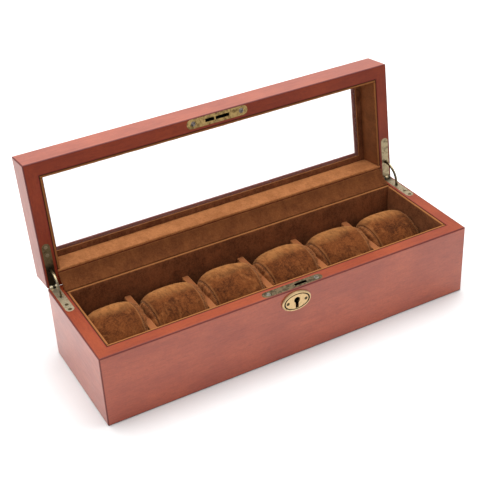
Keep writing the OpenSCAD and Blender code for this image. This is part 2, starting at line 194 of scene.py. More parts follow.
def stained_wood(name, along, in_lid=False, hole=None, opening=None, pocket=None, coat=1.0,
                 shaded_tone=rgb(255, 255, 255)):
    """Red-brown stained veneer under a satin lacquer, its grain along X or Y. The rims where lid and
    base meet are matt. Stain has gathered on the arrises. Shade is painted in as near-black in the
    keyhole (hole: its height and radius) and in the lock's pocket (pocket: its middle in Y and its half
    sizes), and as a dark red shadow line along the inner edge of a frame (opening: half the size of
    what it surrounds). On lid pieces the tone over all but the rims is a painted shade that offsets
    the light falling on them."""
    f = Finish(name, Coat_Roughness=0.28, Coat_IOR=1.5, Specular_IOR_Level=0.2)
    place = f.coordinates(in_lid=in_lid)
    if along == "X":
        long, fine = (0.22, 1, 1), (0.06, 1, 1)
    else:
        long, fine = (1, 0.22, 1), (1, 0.06, 1)
    clouds = f.noise(f.stretched(place, (0.6, 0.6, 1)), 30, detail=3)
    figure = f.noise(f.stretched(place, long), 260, detail=6, roughness=0.7, distortion=0.3)
    fibres = f.noise(f.stretched(place, fine), 1300, detail=3, roughness=0.7)
    pepper = f.noise(place, 480, detail=3, roughness=0.8)
    facing = f.parts(f.coordinates("Normal", in_lid))[2]
    rim = f.ramp(f.math("MULTIPLY", facing, -1.0), 0.8, 0.95) if in_lid else f.ramp(facing, 0.8, 0.95)
    flecks = f.ramp(f.noise(f.stretched(place, long), 900, detail=1), 0.56, 0.72)
    colour = f.mix(f.ramp(clouds, 0.3, 0.7), rgb(162, 66, 38), rgb(186, 84, 48))
    colour = f.mix(f.ramp(figure, 0.35, 0.75, 0.0, 0.4), colour, rgb(138, 52, 32))
    colour = f.mix(f.ramp(fibres, 0.35, 0.75, 0.0, 0.25), colour, rgb(200, 104, 64))
    colour = f.tint(colour, flecks, 0.22, rgb(108, 38, 26))
    colour = f.mix(f.ramp(pepper, 0.38, 0.62, 0.0, 0.2), colour, rgb(128, 48, 30))
    rim_tone = rgb(204, 176, 130) if in_lid else rgb(218, 214, 190)
    # all but the rims take the shaded tone: on lid pieces a painted shade against the light falling on
    # them
    colour = f.mix(1.0, colour, f.mix(rim, shaded_tone, rim_tone), "MULTIPLY")
    worn = f.off_axis(in_lid)
    colour = f.tint(colour, worn, 0.75, rgb(76, 26, 34))
    if hole:
        # painted shade: the wood about the keyhole's bore is painted near-black, as shade in the hole
        x, _, z = f.parts(place)
        up = f.math("SUBTRACT", z, hole[0])
        shaded_hollow = f.ramp(f.length(x, up), hole[1], 0.8 * hole[1])
        colour = f.mix(shaded_hollow, colour, rgb(26, 12, 8))
    if pocket:
        # painted shade: the wood of the lock's pocket is painted near-black, as shade in the recess
        moved = f.node("VectorMath", {0: place, 1: (0, pocket[0], 0)}, operation="SUBTRACT")
        shaded_hollow = f.ramp(f.beyond(moved.outputs["Vector"], pocket[1:]), 0, -0.1 * MM)
        colour = f.mix(shaded_hollow, colour, rgb(14, 8, 6))
    shine = f.math("MULTIPLY", f.ramp(rim, 0, 1, coat, 0.12), f.ramp(worn, 0, 1, 1.0, 0.25))
    if opening:
        # painted shadow: a dark red line, with no coat, along the frame's inner edge where the velvet
        # meets the wood
        inside = f.ramp(f.beyond(place, opening), 0.8 * MM, 0.4 * MM)
        colour = f.tint(colour, inside, 0.85, rgb(118, 34, 28))
        shine = f.math("MULTIPLY", shine, f.ramp(inside, 0, 1, 1.0, 0.0))
    rough = f.ramp(figure, 0.2, 0.8, 0.36, 0.5)
    fine_bump = f.bump(fibres, 0.00005, 0.3)
    return f.finish(Base_Color=colour, Roughness=rough, Coat_Weight=shine,
                    Normal=f.bump(flecks, 0.00006, 0.2, fine_bump))


def velvet(name, deep, light, in_lid=False, crush=0.5, sheen=0.3, pale_edges=0.0, gold_rim=0.0,
           glued_to=None, crest=0.0, seams=False):
    """Short-pile velvet: a fine grain, and a nap that is brushed a little lighter here and there. Turned
    edges are paler, partly worn nap and partly a painted sheen highlight. Painted highlights lighten a
    board's rim (gold_rim), a pillow's crest where it faces up and back, and a line on a pillow's body
    next to each seam; painted shade darkens the seams themselves and the groove where a board meets
    the wood (glued_to: the wood's half sizes)."""
    f = Finish(name, Roughness=0.92, Specular_IOR_Level=0.1, Sheen_Weight=sheen, Sheen_Roughness=0.4,
               Sheen_Tint=rgb(226, 168, 112))
    place = f.coordinates(in_lid=in_lid)
    patches = f.noise(place, 70, detail=3, roughness=0.5, distortion=0.3)
    brushed = f.noise(f.stretched(place, (1, 0.5, 0.5)), 260, detail=4, roughness=0.6, distortion=0.4)
    grain = f.noise(place, 700, detail=4, roughness=0.8)
    soft = f.math("ADD", f.math("MULTIPLY", patches, 0.55), f.math("MULTIPLY", brushed, 0.45))
    nap = f.math("ADD", f.math("MULTIPLY", f.ramp(soft, 0.36, 0.64), crush),
                 f.math("MULTIPLY", f.ramp(grain, 0.34, 0.66), 1 - crush))
    colour = f.mix(nap, deep, light)
    _, back, up = f.parts(f.coordinates("Normal", in_lid))
    if crest:
        # painted highlight: where the pillow faces up and back, toward the light, its crest is lightened
        # in streaks
        facing = f.math("ADD", f.math("MULTIPLY", up, 0.86), f.math("MULTIPLY", back, 0.51))
        streaks = f.noise(f.stretched(place, (1, 0.3, 0.3)), 420, detail=4, roughness=0.7)
        lit_crest = f.math("MULTIPLY", f.ramp(facing, 0.76, 1.03), f.ramp(streaks, 0.34, 0.62, 0.4, 1.0))
        colour = f.tint(colour, lit_crest, crest, rgb(198, 135, 78))
        crushed = f.ramp(f.noise(place, 85, detail=2, distortion=0.8), 0.5, 0.72)
        crushed = f.math("MULTIPLY", crushed, f.ramp(streaks, 0.36, 0.66))
        colour = f.tint(colour, crushed, 0.55, rgb(176, 110, 60))
    if pale_edges:
        # paler turned edges: partly worn nap, partly a painted sheen highlight
        edge = f.math("MULTIPLY", f.off_axis(in_lid, 0.99, 0.85), pale_edges)
        colour = f.mix(edge, colour, rgb(196, 128, 74))
    if gold_rim:
        # painted highlight: the board's rim face is lightened toward gold, as the light catches it
        out = f.math("MULTIPLY", up, -1.0 if in_lid else 1.0)
        colour = f.mix(f.ramp(out, 0.6, 0.9, 0.0, gold_rim), colour, rgb(160, 103, 56))
    if glued_to:
        # painted shade: a dark band where the board meets the wood, as shade in the groove between them
        glued = f.ramp(f.beyond(place, glued_to), -1.2 * MM, -0.7 * MM)
        colour = f.tint(colour, glued, 0.8, rgb(36, 15, 10))
    if seams:
        away = f.node("Attribute", {}, attribute_name="seam").outputs["Fac"]
        # painted highlight: a pale line on the body just next to the seam
        seam_highlight = f.ramp(f.math("ABSOLUTE", f.math("ADD", away, 1.3 * MM)), 1.1 * MM, 0.2 * MM)
        colour = f.tint(colour, seam_highlight, 0.2, rgb(206, 142, 88))
        # painted shade: the seam line itself is darkened, as shade in its crease
        seam_shade = f.ramp(f.math("ABSOLUTE", away), 0.8 * MM, 0.2 * MM)
        colour = f.tint(colour, seam_shade, 0.45, rgb(44, 20, 8))
    lay = f.bump(soft, 0.001, 0.35 * crush)
    return f.finish(Base_Color=colour, Normal=f.bump(grain, 0.0003, 0.6, lay))


def felt(name):
    """Pressed wool: loose fibres and a slightly cloudy tone."""
    f = Finish(name, Roughness=0.95, Specular_IOR_Level=0.1, Sheen_Weight=0.2, Sheen_Roughness=0.5)
    place = f.coordinates()
    clouds = f.noise(place, 60, detail=4)
    fibres = f.noise(place, 1800, detail=3, roughness=0.75, distortion=2.0)
    colour = f.mix(f.ramp(clouds, 0.3, 0.7), rgb(70, 38, 24), rgb(88, 50, 33))
    colour = f.mix(f.ramp(fibres, 0.35, 0.7, 0.0, 0.5), colour, rgb(48, 25, 16))
    return f.finish(Base_Color=colour, Normal=f.bump(fibres, 0.0003, 0.6))


def plywood(name):
    """Bare birch plywood."""
    f = Finish(name, Roughness=0.6)
    place = f.coordinates()
    grain = f.noise(f.stretched(place, (0.06, 1, 1)), 260, detail=5, distortion=0.4)
    colour = f.mix(f.ramp(grain, 0.3, 0.72), rgb(214, 180, 134), rgb(182, 140, 92))
    return f.finish(Base_Color=colour, Normal=f.bump(grain, 0.0001, 0.3))


def brass(name, bright, dull, tarnish=0.5, rough=0.34, in_lid=False, groove=None, black_from=None,
          black_sides=False):
    """Antiqued brass: a bright, worn tone over a dull one, with fine scratches and dark specks. It has
    black wax in an oval groove (groove: its middle height, half width and half height). Further back
    than black_from it is painted near-black, as shade and a dark reflection about the hinge pin, and
    black_sides paints shade as near-black on a flat plate's upright faces, its slot walls among them."""
    f = Finish(name, Metallic=0.92, Specular_IOR_Level=0.5)
    place = f.coordinates(in_lid=in_lid)
    clouds = f.noise(place, 420, detail=5, roughness=0.65, distortion=0.6)
    specks = f.ramp(f.noise(place, 1300, detail=2), 0.58, 0.74)
    scratches = f.noise(f.stretched(place, (0.12, 1, 1)), 2400, detail=2)
    worn = f.off_axis(in_lid)
    colour = f.mix(f.ramp(clouds, 0.62 - 0.3 * tarnish, 0.85 - 0.3 * tarnish), bright, dull)
    colour = f.tint(colour, specks, tarnish, rgb(62, 52, 34))
    colour = f.tint(colour, worn, 0.7, f.mix(0.35, bright, rgb(240, 222, 180)))
    if groove:
        x, _, z = f.parts(place)
        middle, half_w, half_h = groove
        u = f.math("DIVIDE", x, half_w)
        v = f.math("DIVIDE", f.math("SUBTRACT", z, middle), half_h)
        ring = f.ramp(f.math("ABSOLUTE", f.math("SUBTRACT", f.length(u, v), 1.0)), 0.075, 0.045)
        colour = f.mix(ring, colour, rgb(20, 14, 8))
    if black_sides:
        # painted shade: a flat plate's upright faces, its slot walls among them, are painted near-black
        flat = f.math("ABSOLUTE", f.parts(f.coordinates("Normal", in_lid))[2])
        colour = f.mix(f.ramp(flat, 0.4, 0.2), colour, rgb(14, 12, 8))
    # painted shade: past black_from, near the hinge pin, the leaf is painted near-black, standing in for
    # shade and a dark reflection
    if black_from:
        back = f.parts(place)[1]
        colour = f.mix(f.ramp(back, black_from - 3 * MM, black_from + 3 * MM, 0.0, 0.85), colour,
                       rgb(26, 22, 14))
    roughness = f.ramp(clouds, 0.2, 0.8, rough - 0.08, rough + 0.16)
    return f.finish(Base_Color=colour, Roughness=roughness, Normal=f.bump(scratches, 0.00004, 0.4))


def clear_glass(name):
    """Thin clear pane with a trace of wiping marks in its gloss."""
    f = Finish(name, IOR=1.45, Alpha=0.10, Specular_IOR_Level=0.4)
    wiped = f.noise(f.stretched(f.coordinates(in_lid=True), (0.3, 1, 1)), 60, detail=3)
    return f.finish(Base_Color=f.mix(f.ramp(wiped, 0.3, 0.7), rgb(244, 248, 247), rgb(236, 243, 241)),
                    Roughness=f.ramp(wiped, 0.3, 0.8, 0.03, 0.07))


def thread(name):
    """Matt sewing thread with its twist."""
    f = Finish(name, Roughness=0.75, Sheen_Weight=0.2)
    twist = f.noise(f.coordinates(), 2600, detail=2, distortion=1.0)
    return f.finish(Base_Color=f.mix(f.ramp(twist, 0.35, 0.7), rgb(170, 114, 68), rgb(116, 72, 40)),
                    Normal=f.bump(twist, 0.0001, 0.5))


def dress(names, material):
    """Gives CAD nodes a finish."""
    for name in names:
        piece = frame["nodes"][name]
        if not piece.material_slots:
            piece.data.materials.append(material)
        for slot in piece.material_slots:
            slot.material = material


def between_walls():
    """Half the length and half the depth of the opening between the wooden walls."""
    return -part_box("base_left_wall")[1].x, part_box("base_rear_wall")[0].y


def dress_wood():
    low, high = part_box("escutcheon")
    hole = ((low.z + high.z) / 2, KEYHOLE_SHADE)
    inner = between_walls()
    window = (-shut_box("window_left_rail")[1].x, shut_box("window_rear_rail")[0].y)
    plate_low, plate_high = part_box("lock_faceplate")
    pocket = ((plate_low.y + plate_high.y) / 2, *POCKET_HALF)
    # painted shade: this tone darkens the lid's wood, besides its rims, to offset the light falling on it
    dull = rgb(238, 242, 242)
    dress(["base_front_wall"], stained_wood("front_wood", "X", hole=hole, opening=inner))
    dress(["base_rear_wall"], stained_wood("rear_wood", "X", opening=inner))
    dress(["base_left_wall", "base_right_wall"], stained_wood("side_wood", "Y", opening=inner, coat=0.85))
    dress(["lid_front_wall"],
          stained_wood("lid_front_wood", "X", True, opening=inner, pocket=pocket, coat=0.8, shaded_tone=dull))
    dress(["lid_rear_wall"], stained_wood("lid_rear_wood", "X", True, opening=inner, coat=0.8))
    dress(["lid_left_wall", "lid_right_wall"],
          stained_wood("lid_side_wood", "Y", True, opening=inner, coat=0.5, shaded_tone=dull))
    dress(["window_front_rail", "window_rear_rail"],
          stained_wood("rail_wood", "X", True, opening=window, coat=0.8, shaded_tone=dull))
    dress(["window_left_rail", "window_right_rail"],
          stained_wood("side_rail_wood", "Y", True, opening=window, coat=0.5, shaded_tone=dull))


def dress_metal():
    olive, dark = rgb(118, 102, 76), rgb(76, 64, 44)
    low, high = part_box("escutcheon")
    groove = ((low.z + high.z) / 2,
              (high.x - low.x) / 2 - GROOVE_INSET, (high.z - low.z) / 2 - GROOVE_INSET)
    dress(["escutcheon"],
          brass("escutcheon_brass", rgb(206, 176, 130), rgb(166, 136, 90), 0.3, 0.36, groove=groove))
    dress(["lock_faceplate"],
          brass("faceplate_brass", olive, rgb(66, 56, 40), 0.75, 0.42, black_sides=True))
    dress(["strike_plate"],
          brass("strike_brass", rgb(178, 150, 96), rgb(120, 98, 60), 0.65, 0.38, in_lid=True,
                black_sides=True))
    # painted light: the left base leaf gets a paler, lit copy of the leaf brass; the right base leaf
    # keeps the plain tone and is painted near-black past 47 mm, as shade by the pin
    dress(["base_leaf_left"], brass("lit_leaf_brass", rgb(204, 192, 162), rgb(140, 126, 94), 0.45, 0.36))
    dress(["base_leaf_right"],
          brass("dull_leaf_brass", rgb(172, 156, 128), rgb(112, 98, 74), 0.5, 0.38, black_from=47 * MM))
    # painted shade: the left lid leaf gets a darker, shaded copy of the leaf brass, painted near-black
    # past 33 mm as a dark reflection by the pin
    dress(["lid_leaf_left"],
          brass("shaded_leaf_brass", rgb(112, 98, 70), dark, 0.5, 0.4, in_lid=True, black_from=33 * MM))
    dress(["lid_leaf_right"],
          brass("pale_leaf_brass", rgb(168, 152, 120), rgb(118, 104, 76), 0.5, 0.38, in_lid=True))
    dress(["quadrant_arm_left", "quadrant_arm_right"],
          brass("arm_brass", rgb(104, 92, 66), dark, 0.6, 0.28))
    dress(["lock_screws"], brass("screw_steel", rgb(150, 144, 132), rgb(78, 72, 62), 0.5, 0.32))
    dress(["hinge_pins", "base_hinge_screws"],
          brass("dark_brass", rgb(120, 106, 78), rgb(70, 60, 42), 0.6, 0.38))
    dress(["escutcheon_pins"], brass("pin_brass", rgb(92, 80, 58), rgb(40, 34, 24), 0.7, 0.4))
    dress(["lock_case"], brass("black_iron", rgb(40, 34, 28), rgb(20, 17, 14), 0.6, 0.5))
    dress(["lock_bolt"], brass("bolt_brass", rgb(70, 60, 42), rgb(40, 34, 24), 0.6, 0.5))
    dress(["lid_hinge_screws"],
          brass("lid_screw_brass", rgb(146, 132, 104), rgb(84, 72, 52), 0.4, 0.34, in_lid=True))
    dress(["strike_screws"],
          brass("strike_screw_steel", rgb(128, 118, 112), rgb(58, 52, 48), 0.5, 0.34, in_lid=True))


# ---- pieces ----

def add_piece(name, mesh, body, material):
    """Puts a mesh into the scene. With no body it stays free, to be blended between two."""
    piece = bpy.data.objects.new(name, mesh)
    bpy.context.scene.collection.objects.link(piece)
    mesh.materials.append(material)
    mesh.polygons.foreach_set("use_smooth", [True] * len(mesh.polygons))
    if body:
        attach(piece, body)
    return piece


def mesh_of(name, vertices, faces):
    mesh = bpy.data.meshes.new(name)
    mesh.from_pydata([tuple(v) for v in vertices], [], faces)
    mesh.validate()
    made = bmesh.new()
    made.from_mesh(mesh)
    bmesh.ops.recalc_face_normals(made, faces=made.faces)
    made.to_mesh(mesh)
    made.free()
    return mesh


def ring_faces(here, there, count):
    """Faces between two closed rings of vertices, each given by its first vertex."""
    faces = []
    for j in range(count):
        after = (j + 1) % count
        faces.append((here + j, here + after, there + after, there + j))
    return faces


def cuts(low, high, radius, cell):
    """Places along one side of a board: close together where its edges turn, even between them."""
    turn = [radius * (1 - math.cos(math.radians(a))) for a in (0, 30, 60, 90)]
    middle = max(1, round((high - low - 2 * radius) / cell))
    span = high - low - 2 * radius
    inner = [low + radius + span * i / middle for i in range(1, middle)]
    return [low + t for t in turn] + inner + [high - t for t in reversed(turn)]


def padded_board(name, low, high, radius, seed, cell=4 * MM, swell=0.12 * MM):
    """A thin board covered in cloth: rounded edges, and faces that aren't quite even."""
    lines = [cuts(low[i], high[i], radius, cell) for i in range(3)]
    last = [len(line) - 1 for line in lines]
    core_low = Vector(low) + Vector((radius,) * 3)
    core_high = Vector(high) - Vector((radius,) * 3)
    index, vertices, faces = {}, [], []

    def vertex(i, j, k):
        if (i, j, k) not in index:
            p = Vector((lines[0][i], lines[1][j], lines[2][k]))
            core = Vector([min(max(p[a], core_low[a]), core_high[a]) for a in range(3)])
            out = (p - core).normalized()
            lift = noise.noise(p * 130 + Vector((seed, 0, 0))) * swell - 0.5 * swell
            index[i, j, k] = len(vertices)
            vertices.append(core + out * (radius + lift))
        return index[i, j, k]

    for axis in range(3):
        a, b = [n for n in range(3) if n != axis]
        for end in (0, last[axis]):
            for u in range(last[a]):
                for v in range(last[b]):
                    corners = []
                    for du, dv in ((0, 0), (1, 0), (1, 1), (0, 1)):
                        key = [0, 0, 0]
                        key[axis], key[a], key[b] = end, u + du, v + dv
                        corners.append(vertex(*key))
                    faces.append(corners)
    return mesh_of(name, vertices, faces)


def base_boards(material, divider_material):
    """The linings of the base's walls and floor, and the dividers."""
    for number, side in enumerate((FRONT, RIGHT, REAR, LEFT)):
        node = f"base_{side}_lining"
        board = padded_board(f"{side}_board", *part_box(node), BOARD_ROUND, number)
        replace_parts(add_piece(f"{side}_board", board, "base", material), node)
    floor = padded_board("floor_board", *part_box("floor_lining"), FLOOR_ROUND, 9)
    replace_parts(add_piece("floor_board", floor, "base", material), "floor_lining")
    for number in range(1, DIVIDERS + 1):
        node = f"divider_{number}"
        board = padded_board(f"divider_board_{number}", *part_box(node), DIVIDER_ROUND, 20 + number)
        piece = add_piece(f"divider_board_{number}", board, "base", divider_material)
        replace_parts(piece, node)


def lid_boards(material):
    """The linings of the lid's walls (material: one for each side)."""
    for number, side in enumerate((FRONT, RIGHT, REAR, LEFT)):
        node = f"lid_{side}_lining"
        board = padded_board(f"lid_{side}_board", *shut_box(node), BOARD_ROUND, 40 + number)
        board.transform(HINGE)
        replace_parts(add_piece(f"lid_{side}_board", board, "lid", material[side]), node)


def window_border(material):
    """The velvet-covered ring behind the window's rails, mitred at its corners."""
    low, high = shut_box("window_border_lining")
    corners_at = [SHUT @ v.co for v in frame["nodes"]["window_border_lining"].data.vertices]
    outer = Vector((high.x, high.y))
    inner = Vector([min(abs(p[i]) for p in corners_at) for i in (0, 1)])
    thick, radius = high.z - low.z, BORDER_ROUND
    width = outer.x - inner.x
    profile = []
    for u, z, start in ((width - radius, thick - radius, 0), (radius, thick - radius, 90),
                        (radius, radius, 180), (width - radius, radius, 270)):
        for step in range(5):
            a = math.radians(start + 22.5 * step)
            profile.append((u + radius * math.cos(a), z + radius * math.sin(a)))
    corners = [(-1, -1), (1, -1), (1, 1), (-1, 1)]
    per_side = 48
    vertices, faces = [], []
    for n in range(4 * per_side):
        a, b = corners[n // per_side], corners[(n // per_side + 1) % 4]
        t = (n % per_side) / per_side
        at = Vector((a[0] + (b[0] - a[0]) * t, a[1] + (b[1] - a[1]) * t))
        for u, z in profile:
            x = at.x * (inner.x + u)
            y = at.y * (inner.y + u)
            p = Vector((x, y, low.z + z))
            vertices.append(p + Vector((0, 0, noise.noise(p * 140) * 0.08 * MM)))
    count = len(profile)
    for n in range(4 * per_side):
        faces += ring_faces(n * count, (n + 1) % (4 * per_side) * count, count)
    mesh = mesh_of("border_board", vertices, faces)
    mesh.transform(HINGE)
    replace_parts(add_piece("border_board", mesh, "lid", material), "window_border_lining")


def felt_sheet(material):
    """The felt under the bottom panel."""
    low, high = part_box("underside_felt")
    mesh = padded_board("felt_sheet", low, high, FELT_ROUND, 60, cell=5 * MM, swell=0.1 * MM)
    piece = add_piece("felt_sheet", mesh, "base", material)
    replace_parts(piece, "underside_felt")


def cloth_strip(material):
    """Velvet stretched between the two rear linings, a little hollow between its glued edges."""
    low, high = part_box("cloth_hinge_strip")
    foot = Vector((0, low.y + 0.2 * MM, low.z + 0.1 * MM))
    head = Vector((0, PIVOT.y + 1.5 * MM, PIVOT.z + 10.7 * MM))
    along = head - foot
    away = Vector((0, along.z, -along.y)).normalized()
    steps, cell = 14, 3 * MM
    length = high.x - low.x
    columns = round(length / cell)
    vertices, faces = [], []
    for i in range(columns + 1):
        x = low.x + length * i / columns
        ripple = 0.25 * MM * noise.noise(Vector((x * 60, 3.1, 0)))
        section = []
        for s in range(steps + 1):
            t = s / steps
            sag = (STRIP_HOLLOW + ripple) * math.sin(math.pi * t)
            section.append(foot + along * t + away * sag)
        section += [p + away * STRIP_THICK for p in reversed(section)]
        vertices += [Vector((x, p.y, p.z)) for p in section]
    count = 2 * (steps + 1)
    for i in range(columns):
        faces += ring_faces(i * count, (i + 1) * count, count)
    for i in (0, columns):
        for s in range(steps):
            a = i * count + s
            b = i * count + count - 1 - s
            faces.append((a, a + 1, b - 1, b))
    mesh = mesh_of("cloth_strip", vertices, faces)
    piece = add_piece("cloth_strip", mesh, None, material)
    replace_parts(piece, "cloth_hinge_strip")
    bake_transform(piece)


# ---- pillows ----

SIM = 10  # the cloth is simulated ten times as large, where its solver is steady
SEGMENTS = 96
END_BAND = 2.6 * MM  # from a seam to the pillow's end
END_ROUND = 2.2 * MM
# How far half the depth and half the height shrink at the left seam and at the right one
FALLS = {-1: (7.0 * MM, 3.6 * MM), 1: (5.0 * MM, 1.6 * MM)}
LEAN = 0.035  # rise of a pillow's right end over its length
OVERHANG = 2.6 * MM  # how far a pillow's end swells out over a divider
SWELL = 0.6 * MM  # left free for the cloth to swell into
CAP_RINGS = (0.1, 0.22, 0.34, 0.46, 0.58, 0.70, 0.82, 0.92)  # of an end's radius
BODY_RINGS = (1, 0.96, 0.9, 0.81, 0.71, 0.6, 0.48, 0.36, 0.24, 0.12, 0)  # of the way to a seam
CLOTH_FRAMES = 20
MOST_BLOWN = 2.2 * MM  # no point is blown further than this
STITCH_RADIUS, STITCH_REACH, STITCH_SIDES = 0.17 * MM, 0.75 * MM, 6


def half_stations(half, end):
    """(x, half depth, half height) of each ring from one end's middle (end: -1 or 1) to the crown."""
    seam = half.x - END_BAND
    depth, height = half.y - SWELL, half.z - 0.5 * SWELL
    fall_d, fall_h = FALLS[end]
    rings = []
    end_d, end_h = depth - fall_d, height - fall_h
    for k in CAP_RINGS:
        rings.append((seam + END_ROUND, (end_d - END_ROUND) * k, (end_h - END_ROUND) * k))
    for a in (90, 60, 30):
        pull = END_ROUND * (1 - math.cos(math.radians(a)))
        rings.append((seam + END_ROUND * math.sin(math.radians(a)), end_d - pull, end_h - pull))
    for s in BODY_RINGS:
        rings.append((seam * s, depth - fall_d * s ** 3, height - fall_h * s ** 3))
    return [(end * x, d, h) for x, d, h in rings]


def stations(half):
    """The rings of a whole pillow, from its left end to its right end."""
    return half_stations(half, -1) + list(reversed(half_stations(half, 1)[:-1]))


def drum(name, half, seed):
    """Closed mesh of rings, a little uneven."""
    rings = stations(half)
    vertices, faces = [], []
    for x, d, h in rings:
        for j in range(SEGMENTS):
            a = 2 * math.pi * j / SEGMENTS
            p = Vector((x, d * math.cos(a), h * math.sin(a)))
            wander = noise.noise_vector(p * 45 + Vector((seed * 7.3, 0, 0))) * 0.7 * MM
            vertices.append(p + Vector((0, wander.y, wander.z)) * min(1, (d / half.y) ** 2))
    for n in range(len(rings) - 1):
        faces += ring_faces(n * SEGMENTS, (n + 1) * SEGMENTS, SEGMENTS)
    for n, end in ((0, -1), (len(rings) - 1, 1)):
        centre = len(vertices)
        vertices.append(Vector((end * (half.x - END_BAND + END_ROUND), 0, 0)))
        for j in range(SEGMENTS):
            faces.append((n * SEGMENTS + j, n * SEGMENTS + (j + 1) % SEGMENTS, centre))
    return mesh_of(name, vertices, faces), rings


def past_seam(rings, seam, vertex):
    """How far beyond its nearer seam a vertex was drawn; less than nothing inside the seams."""
    ring = vertex // SEGMENTS
    if ring < len(rings):
        return abs(rings[ring][0]) - seam
    return END_ROUND


def inflate(mesh, held_points):
    """Blows the drum up with cloth pressure while its two seams are held, and returns the new points."""
    start = np.array([v.co for v in mesh.vertices])
    body = bpy.data.objects.new("blown", mesh.copy())
    bpy.context.scene.collection.objects.link(body)
    body.data.transform(Matrix.Scale(SIM, 4))
    held = body.vertex_groups.new(name="held")
    held.add(held_points, 1.0, "REPLACE")
    cloth = body.modifiers.new("cloth", "CLOTH")
    settings = cloth.settings
    settings.quality = 5
    settings.mass = 0.3
    settings.tension_stiffness = 15
    settings.compression_stiffness = 15
    settings.shear_stiffness = 5
    settings.bending_stiffness = 0.5
    settings.shrink_min = -0.02
    settings.use_pressure = True
    settings.uniform_pressure_force = 5
    settings.effector_weights.gravity = 0
    settings.vertex_group_mass = "held"
    cloth.collision_settings.use_collision = False
    cloth.point_cache.frame_start = 1
    cloth.point_cache.frame_end = CLOTH_FRAMES
    for moment in range(1, CLOTH_FRAMES + 1):
        bpy.context.scene.frame_set(moment)
    blown = body.evaluated_get(bpy.context.evaluated_depsgraph_get()).to_mesh()
    moved = np.array([v.co for v in blown.vertices]) / SIM - start
    bpy.data.objects.remove(body)
    bpy.context.scene.frame_set(1)
    far = np.linalg.norm(moved, axis=1, keepdims=True)
    return start + moved * np.minimum(1, MOST_BLOWN / np.maximum(far, 1e-9))


def sewn(mesh, rings, seam, points, seed):
    """Draws the cloth in along both seams, with puckers that fade away from them."""
    for vertex, p in zip(mesh.vertices, points):
        vertex.co = p
    mesh.update()
    normals = np.array([n.vector for n in mesh.vertex_normals])
    for n, (x, _, _) in enumerate(rings):
        near = abs(abs(x) - seam) / MM
        groove = 0.7 * math.exp(-(near / 0.7) ** 2)
        gathered = 0.9 if abs(x) > seam else 0.5
        for j in range(SEGMENTS):
            turn = 2 * math.pi * j / SEGMENTS
            around = Vector((math.cos(turn), math.sin(turn), 0))
            pucker = noise.noise(around * 9 + Vector((seed * 3.1, 1 if x > 0 else -1, 0)))
            fold = gathered * pucker * math.exp(-near / 4.0) * min(1, near / 0.8)
            slack = 0.35 * noise.noise(Vector((x * 90, turn * 1.2, seed * 5.7)))
            points[n * SEGMENTS + j] += normals[n * SEGMENTS + j] * (fold + slack - groove) * MM
    return points


def swell_over_dividers(points, number, middle, half):
    """Pushes a pillow's ends outwards above the dividers, but not against the case's sides."""
    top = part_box("divider_1")[1].z + 0.8 * MM
    rise = np.clip((points[:, 2] - top) / (5 * MM), 0, 1)
    for end in (-1, 1):
        if (number, end) not in ((1, -1), (PILLOWS, 1)):
            reach = np.clip((end * (points[:, 0] - middle.x) / half.x - 0.7) / 0.3, 0, 1)
            points[:, 0] += end * OVERHANG * reach * reach * rise
    return points


def in_its_bay(points, number, low, high):
    """Tilts and leans a pillow a little, and puts it into its bay, on the bay's floor."""
    tilt = Matrix.Rotation(math.radians(2.0 * math.sin(number * 2.4)), 3, "X")
    points = points @ np.array(tilt.transposed())
    points[:, 2] += LEAN * (1 + 0.5 * math.sin(number * 1.9)) * points[:, 0]
    points += np.array((low + high) / 2)
    points = swell_over_dividers(points, number, (low + high) / 2, (high - low) / 2)
    points[:, 2] = np.maximum(points[:, 2], low.z + 0.05 * MM)
    points[:, 1] = np.minimum(points[:, 1], high.y + 0.3 * MM)
    return points


def mark_seams(mesh, rings, seam):
    """Tells the velvet how far each point is past its seam, and gives the ends the second material."""
    away = mesh.attributes.new("seam", "FLOAT", "POINT")
    away.data.foreach_set("value", [past_seam(rings, seam, v.index) for v in mesh.vertices])
    for face in mesh.polygons:
        if all(past_seam(rings, seam, v) > -0.1 * MM for v in face.vertices):
            face.material_index = 1


def pillow(number, body_material, end_material, thread_material):
    """One stuffed pillow: a drum that is blown up, sewn in at its seams and laid into its bay."""
    node = f"pillow_{number}"
    low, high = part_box(node)
    half = (high - low) / 2
    seam = half.x - END_BAND
    mesh, rings = drum(f"cushion_{number}", half, number)
    points = np.array([v.co for v in mesh.vertices])
    on_seam = [v for v in range(len(rings) * SEGMENTS) if abs(past_seam(rings, seam, v)) < 0.01 * MM]
    points = inflate(mesh, on_seam)
    points = sewn(mesh, rings, seam, points, number)
    for vertex, p in zip(mesh.vertices, in_its_bay(points, number, low, high)):
        vertex.co = p
    mesh.update()
    piece = add_piece(f"cushion_{number}", mesh, f"cushion_{number}", body_material)
    mesh.materials.append(end_material)
    mark_seams(mesh, rings, seam)
    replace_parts(piece, node)
    smooth = piece.modifiers.new("smooth", "SUBSURF")
    smooth.levels = 1
    smooth.render_levels = 1
    stitches(number, mesh, on_seam, thread_material)


